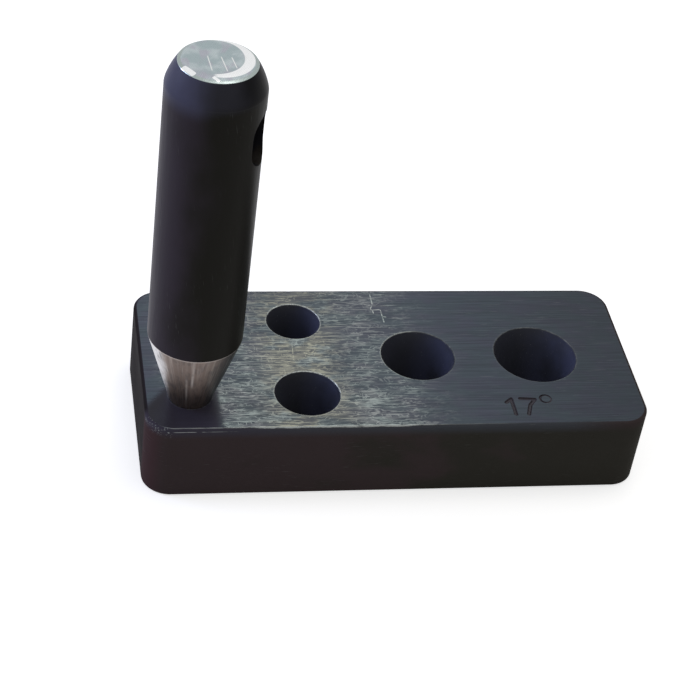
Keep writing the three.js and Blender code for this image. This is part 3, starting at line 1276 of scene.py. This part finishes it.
def slotCutter():
    # upright slot with round ends, from its floor out past the shank's surface
    turn = Matrix.Rotation(math.radians(punch["slotTurn"]), 4, "Z")
    place = Matrix.Translation((punchX, punchY, punchHigh.z - punch["slotDrop"])) @ turn
    floor = punchRadius - punch["slotDepth"]
    corner = punch["slotCorner"]
    rise = (punch["slotHeight"] - punch["slotWidth"]) / 2
    rings = []
    cuts = [(corner, 0), (corner * 0.3, corner * 0.3), (0, corner), (0, punch["slotDepth"] + overrun)]
    for inset, out in cuts:
        half = punch["slotWidth"] / 2 - inset
        ring = []
        for end, first in ((rise, 0), (-rise, 180)):
            for t in halfTurn(first, punch["slotEndSteps"]):
                ring.append(place @ Vector((floor + out, half * math.cos(t), end + half * math.sin(t))))
        rings.append(ring)
    return loft("slotCutter", rings, [0] * (len(rings) + 1), [slotSteel(slotLook)])


def makePunch():
    mats = [shankSteel(shankLook), coneSteel(coneLook), faceSteel(faceLook)]
    obj = lathe("punchBody", punchProfile(), punch["steps"], mats, (punchX, punchY))
    for vert in obj.data.vertices:
        if vert.co.z > punchHigh.z - punch["flatDepth"]:
            vert.co += punch["flatShift"]
    cut(obj, slotCutter())
    tidyMesh(obj)
    return obj


blockPiece = makeBlock()
dressNormals(blockPiece, block["smoothBelow"])
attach(blockPiece, "block")
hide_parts("block")
print("block made", len(blockPiece.data.polygons))

punchPiece = makePunch()
dressNormals(punchPiece, punch["smoothBelow"])
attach(punchPiece, "punch")
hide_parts("punch")
print("punch made", len(punchPiece.data.polygons))


# Lamps, floor and sky

studio = {
    # name, direction from the block, distance, width, brightness, colour
    "lamps": [
        ("highSoftbox", (0.15, 0.1, 1.0), 0.9, 0.4, 3.0, (1, 0.98, 0.95)),
        ("leftSoftbox", (-1.0, 0.3, 0.4), 0.9, 0.45, 4.5, (0.72, 0.82, 1.2)),
    ],
    "sky": 0.55,
    "floor": (0.8, 0.8, 0.8, 1),
    "floorLift": 0.6,
    "floorSize": 3,
    "floorGap": 0.05 * mm,  # keeps the floor and the underside from sharing a plane
}


def makeLamp(name, direction, distance, width, brightness, colour):
    data = bpy.data.lights.new(name, "AREA")
    data.size = width
    data.energy = brightness * math.pi * width * width
    data.color = colour
    obj = bpy.data.objects.new(name, data)
    obj.location = Vector(direction).normalized() * distance
    obj.rotation_euler = obj.location.to_track_quat("Z", "Y").to_euler()
    scene.collection.objects.link(obj)


def seenWhite(tree):
    # 1 for what the camera sees straight on, mirrored or through glass
    path = put(tree, "ShaderNodeLightPath")
    kinds = ("Is Camera Ray", "Is Glossy Ray", "Is Transmission Ray")
    direct, mirrored, through = (Field(tree, path.outputs[kind]) for kind in kinds)
    return larger(larger(direct, mirrored), through)


def makeFloor():
    bm = bmesh.new()
    bmesh.ops.create_grid(bm, x_segments=1, y_segments=1, size=studio["floorSize"])
    mat = bpy.data.materials.new("paleFloor")
    mat.use_nodes = True
    obj = meshObject("floor", bm, [mat])
    obj.location.z = blockLow.z - studio["floorGap"]
    tree = mat.node_tree
    tree.nodes.clear()
    out = put(tree, "ShaderNodeOutputMaterial")
    both = put(tree, "ShaderNodeAddShader")
    paint = put(tree, "ShaderNodeBsdfDiffuse")
    glow = put(tree, "ShaderNodeEmission")
    paint.inputs["Color"].default_value = studio["floor"]
    feed(glow.inputs["Strength"], seenWhite(tree) * studio["floorLift"])
    # clear from below, so that the underside can be looked at
    clear = put(tree, "ShaderNodeBsdfTransparent")
    oneSided = put(tree, "ShaderNodeMixShader")
    isBelow = put(tree, "ShaderNodeNewGeometry").outputs["Backfacing"]
    for source, socket in (
        (paint.outputs[0], both.inputs[0]),
        (glow.outputs[0], both.inputs[1]),
        (isBelow, oneSided.inputs[0]),
        (both.outputs[0], oneSided.inputs[1]),
        (clear.outputs[0], oneSided.inputs[2]),
        (oneSided.outputs[0], out.inputs["Surface"]),
    ):
        tree.links.new(source, socket)


def makeSky():
    world = bpy.data.worlds.new("studio")
    scene.world = world
    world.use_nodes = True
    tree = world.node_tree
    tree.nodes.clear()
    out = put(tree, "ShaderNodeOutputWorld")
    back = put(tree, "ShaderNodeBackground")
    lift = calc("MULTIPLY_ADD", seenWhite(tree), 1 - studio["sky"], studio["sky"])
    feed(back.inputs["Strength"], lift)
    tree.links.new(back.outputs[0], out.inputs["Surface"])


for lamp in studio["lamps"]:
    makeLamp(*lamp)
makeFloor()
makeSky()
print("stage made")
